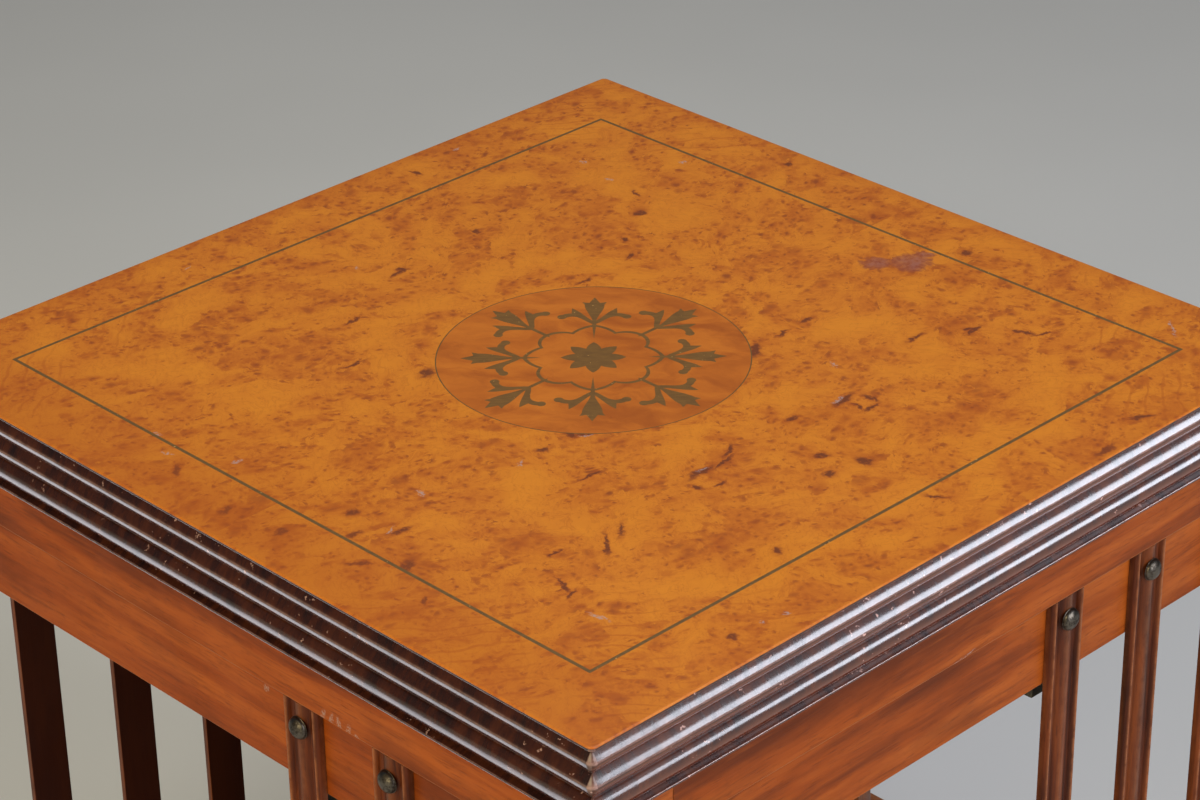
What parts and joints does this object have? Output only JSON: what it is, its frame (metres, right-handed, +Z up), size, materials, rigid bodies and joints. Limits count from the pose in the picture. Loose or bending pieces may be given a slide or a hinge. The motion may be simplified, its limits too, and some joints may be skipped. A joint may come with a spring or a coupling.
{
  "type": "revolving desktop bookcase",
  "caption": "Square table-top bookcase that turns on a central spindle, with open book bays behind reeded slats and a burr top with a marquetry medallion.",
  "frame": {"origin": "on the floor, at the middle of the bounding box's bottom, under the spindle's axis", "axes": "+Z up along the spindle, -Y out of the front bay, +X to the right of it"},
  "size_m": [0.4, 0.4, 0.4],
  "materials": {
    "burr_veneer": "satin polish",
    "medallion_ground": "satin polish",
    "marquetry": "satin polish",
    "stringing": "satin polish",
    "core_timber": "sawn",
    "edge_moulding": "worn gloss polish",
    "frieze_wood": "satin polish",
    "bottom_rail_wood": "satin polish",
    "bearer_timber": "dark stain",
    "divider_wood": "satin polish",
    "slat_wood": "satin polish",
    "shelf_wood": "satin polish",
    "base_wood": "satin polish",
    "felt": "felt",
    "stud_metal": "antiqued",
    "brass": "satin",
    "steel": "turned",
    "screw_metal": "plain"
  },
  "bodies": {
    "base": {"base_board": "base_wood", "feet": "base_wood", "felt_pads": "felt", "spindle": "steel", "spindle_flange": "brass", "flange_screws": "screw_metal", "lower_race": "steel", "lower_race_screws": "screw_metal"},
    "carcase": {"burr_panel": "burr_veneer", "burr_border": "burr_veneer", "medallion_ground": "medallion_ground", "medallion_rosette": "marquetry", "medallion_wreath": "marquetry", "stringing": "stringing", "top_core_board": "core_timber", "turntable_pad": "core_timber", "head_block": "core_timber", "top_moulding_front": "edge_moulding", "frieze_rail_front": "frieze_wood", "bottom_rail_front": "bottom_rail_wood", "bearer_front": "bearer_timber", "divider_front": "divider_wood", "slat_front_1": "slat_wood", "slat_front_2": "slat_wood", "slat_front_3": "slat_wood", "top_moulding_right": "edge_moulding", "frieze_rail_right": "frieze_wood", "bottom_rail_right": "bottom_rail_wood", "bearer_right": "bearer_timber", "divider_right": "divider_wood", "slat_right_1": "slat_wood", "slat_right_2": "slat_wood", "slat_right_3": "slat_wood", "top_moulding_back": "edge_moulding", "frieze_rail_back": "frieze_wood", "bottom_rail_back": "bottom_rail_wood", "bearer_back": "bearer_timber", "divider_back": "divider_wood", "slat_back_1": "slat_wood", "slat_back_2": "slat_wood", "slat_back_3": "slat_wood", "top_moulding_left": "edge_moulding", "frieze_rail_left": "frieze_wood", "bottom_rail_left": "bottom_rail_wood", "bearer_left": "bearer_timber", "divider_left": "divider_wood", "slat_left_1": "slat_wood", "slat_left_2": "slat_wood", "slat_left_3": "slat_wood", "frieze_blocks": "frieze_wood", "shelf_board": "shelf_wood", "upper_studs": "stud_metal", "lower_studs": "stud_metal", "shelf_bush": "brass", "head_bush": "brass", "upper_race": "steel", "upper_race_screws": "screw_metal"},
    "ball_ring": {"ball_cage": "brass", "bearing_balls": "steel"}
  },
  "joints": [
    {"name": "carcase_turn", "type": "hinge", "parent": "base", "child": "carcase", "pos_m": [0, 0, 0.046], "axis": [0, 0, 1], "continuous": true},
    {"name": "ball_ring_turn", "type": "hinge", "parent": "base", "child": "ball_ring", "pos_m": [0, 0, 0.046], "axis": [0, 0, 1], "continuous": true}
  ],
  "couplings": [
    {"joint": "ball_ring_turn", "follows": "carcase_turn", "ratio": 0.5}
  ]
}
